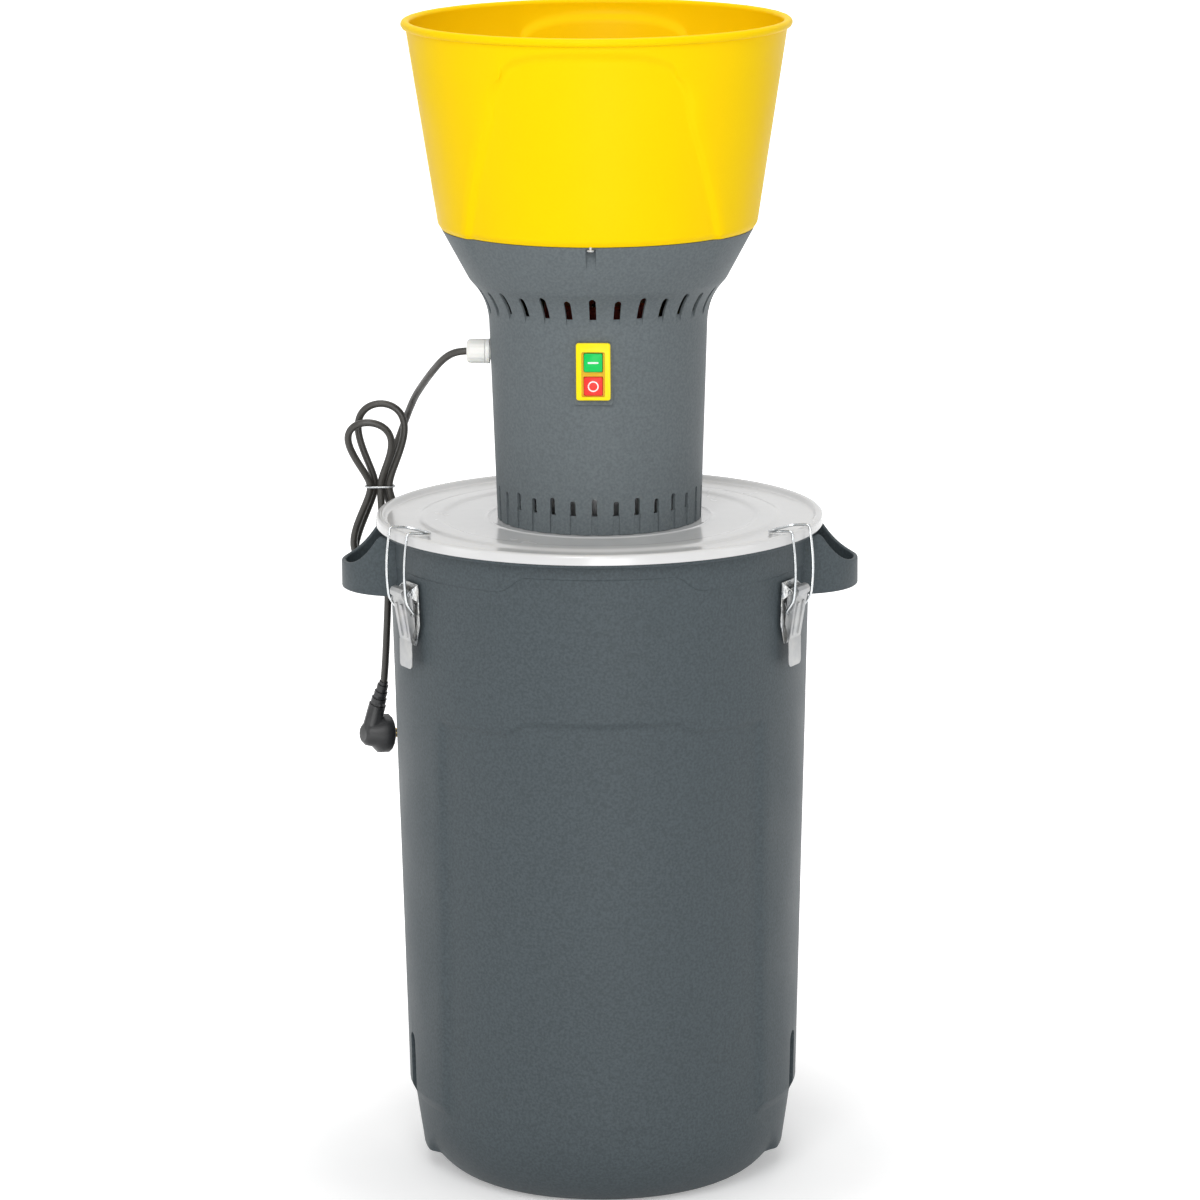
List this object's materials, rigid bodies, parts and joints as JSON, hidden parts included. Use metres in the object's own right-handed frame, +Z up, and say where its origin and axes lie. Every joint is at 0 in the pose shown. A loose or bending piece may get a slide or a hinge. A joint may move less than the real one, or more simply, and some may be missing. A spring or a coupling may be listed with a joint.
{
  "type": "electric grain crusher",
  "caption": "Electric grain crusher: grey bin with side handles and toggle latches, sheet lid, slotted motor head with switch, yellow feed hopper and corded plug.",
  "frame": {"origin": "on the floor under the middle of the bin", "axes": "+Z up, the switch on the front faces -Y, +X to the right as seen from the front"},
  "size_m": [0.486, 0.4202, 1.0959],
  "materials": {
    "bin_plastic": "dark grey moulded plastic with a fine grain",
    "housing_plastic": "dark grey moulded plastic with a fine grain",
    "hopper_plastic": "yellow moulded plastic, satin",
    "lid_sheet": "pale grey glossy paint on pressed sheet",
    "zinc": "bright zinc plate",
    "steel": "plain steel",
    "aluminium": "cast and machined",
    "copper": "enamelled copper wire",
    "brass": "plain brass pins",
    "rubber": "soft seal",
    "cord_rubber": "flexible cord sheath",
    "white_plastic": "white nylon",
    "black_plastic": "black plastic",
    "switch_yellow": "yellow plastic",
    "start_green": "green plastic",
    "stop_red": "red plastic",
    "motor_red": "dark red motor cover",
    "lamination": "stacked steel sheets"
  },
  "bodies": {
    "bin": {"bin": "bin_plastic", "left_latch_plate": "zinc", "right_latch_plate": "zinc", "left_latch_rivet": "zinc", "right_latch_rivet": "zinc", "left_latch_pin": "steel", "right_latch_pin": "steel"},
    "head": {"lid": "lid_sheet", "lid_gasket": "rubber", "chamber_plate": "steel", "motor_plate": "aluminium", "housing": "housing_plastic", "switch_plate": "switch_yellow", "switch_body": "black_plastic", "gland_body": "white_plastic", "gland_nut": "white_plastic", "gland_locknut": "white_plastic", "lower_bell": "aluminium", "lower_bearing": "steel", "stator": "lamination", "lower_winding": "copper", "upper_winding": "copper", "motor_cover": "motor_red", "upper_bearing": "steel", "sieve_ring": "steel", "mill_cover": "steel", "mill_stud_1": "zinc", "mill_stud_2": "zinc", "mill_stud_3": "zinc", "wing_nut_1": "zinc", "wing_nut_2": "zinc", "wing_nut_3": "zinc", "hopper": "hopper_plastic", "hopper_screw_1": "zinc", "hopper_screw_2": "zinc", "hopper_screw_3": "zinc", "shutter_stud": "zinc", "feed_chute": "steel", "cord_lead": "cord_rubber", "cord_hank": "cord_rubber", "cord_tail": "cord_rubber", "cord_tie": "steel", "mains_plug": "black_plastic", "plug_pin_1": "brass", "plug_pin_2": "brass"},
    "start_button": {"start_button": "start_green"},
    "stop_button": {"stop_button": "stop_red"},
    "rotor": {"motor_shaft": "steel", "armature": "lamination", "cooling_fan": "black_plastic", "mill_blade": "steel", "blade_nut": "zinc"},
    "feed_shutter": {"feed_shutter": "black_plastic"},
    "left_lever": {"left_lever": "zinc"},
    "right_lever": {"right_lever": "zinc"},
    "left_bail": {"left_bail": "steel"},
    "right_bail": {"right_bail": "steel"}
  },
  "joints": [
    {"name": "lid_lift", "type": "slide", "parent": "bin", "child": "head", "axis": [0, 0, 1], "range_m": [0, 0.18]},
    {"name": "start_press", "type": "slide", "parent": "head", "child": "start_button", "axis": [0.0471, 0.9989, 0], "range_m": [0, 0.0035], "stiffness_N_per_m": 300, "springref_m": -0.001},
    {"name": "stop_press", "type": "slide", "parent": "head", "child": "stop_button", "axis": [0.0471, 0.9989, 0], "range_m": [0, 0.0035], "stiffness_N_per_m": 300, "springref_m": -0.001},
    {"name": "rotor_spin", "type": "hinge", "parent": "head", "child": "rotor", "pos_m": [0, 0, 0.6], "axis": [0, 0, 1], "continuous": true},
    {"name": "shutter_turn", "type": "hinge", "parent": "head", "child": "feed_shutter", "pos_m": [0, 0, 0.87], "axis": [0, 0, 1], "range_deg": [0, 65]},
    {"name": "left_lever_turn", "type": "hinge", "parent": "bin", "child": "left_lever", "pos_m": [-0.18131, -0.09967, 0.577], "axis": [-0.4818, 0.8763, 0], "range_deg": [0, 105]},
    {"name": "left_bail_turn", "type": "hinge", "parent": "left_lever", "child": "left_bail", "pos_m": [-0.17912, -0.09847, 0.557], "axis": [-0.4818, 0.8763, 0], "range_deg": [-126, 0]},
    {"name": "right_lever_turn", "type": "hinge", "parent": "bin", "child": "right_lever", "pos_m": [0.18131, -0.09967, 0.577], "axis": [-0.4818, -0.8763, 0], "range_deg": [0, 105]},
    {"name": "right_bail_turn", "type": "hinge", "parent": "right_lever", "child": "right_bail", "pos_m": [0.17912, -0.09847, 0.557], "axis": [-0.4818, -0.8763, 0], "range_deg": [-126, 0]}
  ],
  "couplings": [
    {"joint": "left_bail_turn", "follows": "left_lever_turn", "ratio": -1.2},
    {"joint": "right_bail_turn", "follows": "right_lever_turn", "ratio": -1.2}
  ]
}
